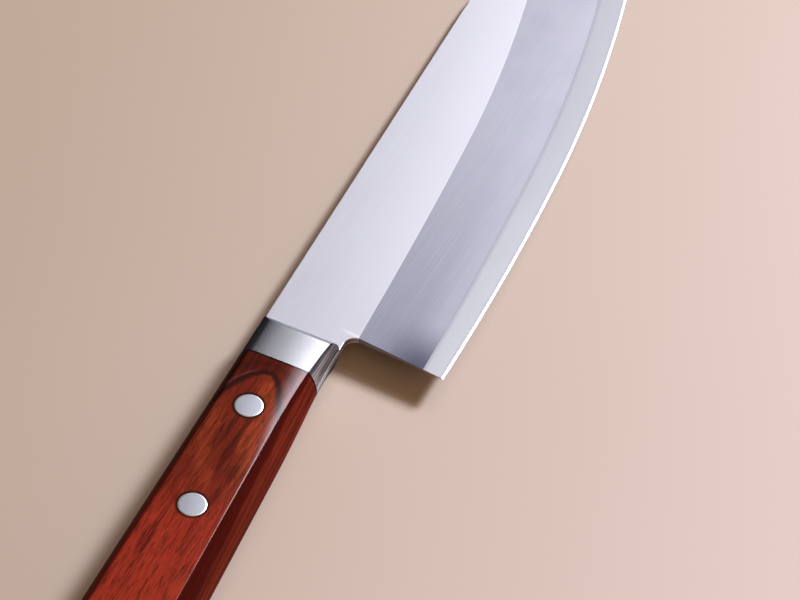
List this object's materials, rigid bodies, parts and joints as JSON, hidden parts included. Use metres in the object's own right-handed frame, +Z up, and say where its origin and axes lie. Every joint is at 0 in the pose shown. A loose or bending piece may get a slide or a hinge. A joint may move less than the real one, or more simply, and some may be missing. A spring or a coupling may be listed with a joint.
{
  "type": "santoku kitchen knife",
  "caption": "Santoku knife with a clad steel blade, an exposed hard core along the cutting edge, a steel bolster and a riveted red wood handle.",
  "frame": {"origin": "centre of the bounding box on the ground that the knife lies on", "axes": "+X towards the tip of the blade, +Y towards the spine, +Z up, out of the right side of the blade; the knife lies on its left side"},
  "size_m": [0.288, 0.0466, 0.0178],
  "materials": {
    "core_steel": "hard core steel, fine grinding lines square to the edge, bright narrow cutting bevel",
    "cladding_steel": "soft stainless cladding: brushed flat with lines from spine to edge, darker satin bevel",
    "bolster_steel": "polished stainless steel on the flats, ground lengthwise on the belly",
    "handle_wood": "red-dyed resin-laminated hardwood, glossy, with dark veneer lines",
    "rivet_steel": "satin stainless rivet heads ground flush"
  },
  "bodies": {
    "root": {"blade_core": "core_steel", "cladding_right": "cladding_steel", "cladding_left": "cladding_steel", "bolster_right": "bolster_steel", "bolster_left": "bolster_steel", "handle_wood": "handle_wood", "rivet_tube_front": "rivet_steel", "rivet_pin_front": "rivet_steel", "rivet_tube_middle": "rivet_steel", "rivet_pin_middle": "rivet_steel", "rivet_tube_rear": "rivet_steel", "rivet_pin_rear": "rivet_steel"}
  },
  "joints": []
}
